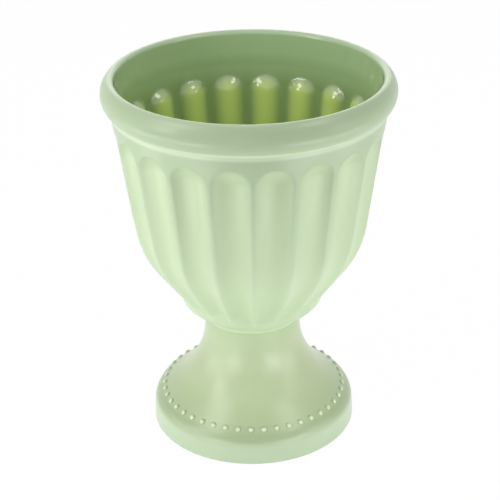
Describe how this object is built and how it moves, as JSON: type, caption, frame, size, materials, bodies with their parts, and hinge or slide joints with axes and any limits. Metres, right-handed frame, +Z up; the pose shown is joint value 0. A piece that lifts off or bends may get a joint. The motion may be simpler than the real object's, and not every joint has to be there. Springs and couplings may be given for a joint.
{
  "type": "tulip vase",
  "caption": "Fluted flower vase with a rolled rim, snapped onto a flared, beaded pedestal that is open underneath.",
  "frame": {"origin": "on the vase's axis, in the plane that the pedestal rests on", "axes": "+Z up along the axis, out of the mouth; -Y towards the front in the picture; +X to the right"},
  "size_m": [0.15, 0.15, 0.1992],
  "materials": {
    "bowl_plastic": "satin outside, glossy inside",
    "foot_plastic": "satin"
  },
  "bodies": {
    "root": {"bowl": "bowl_plastic", "pedestal": "foot_plastic"}
  },
  "joints": []
}
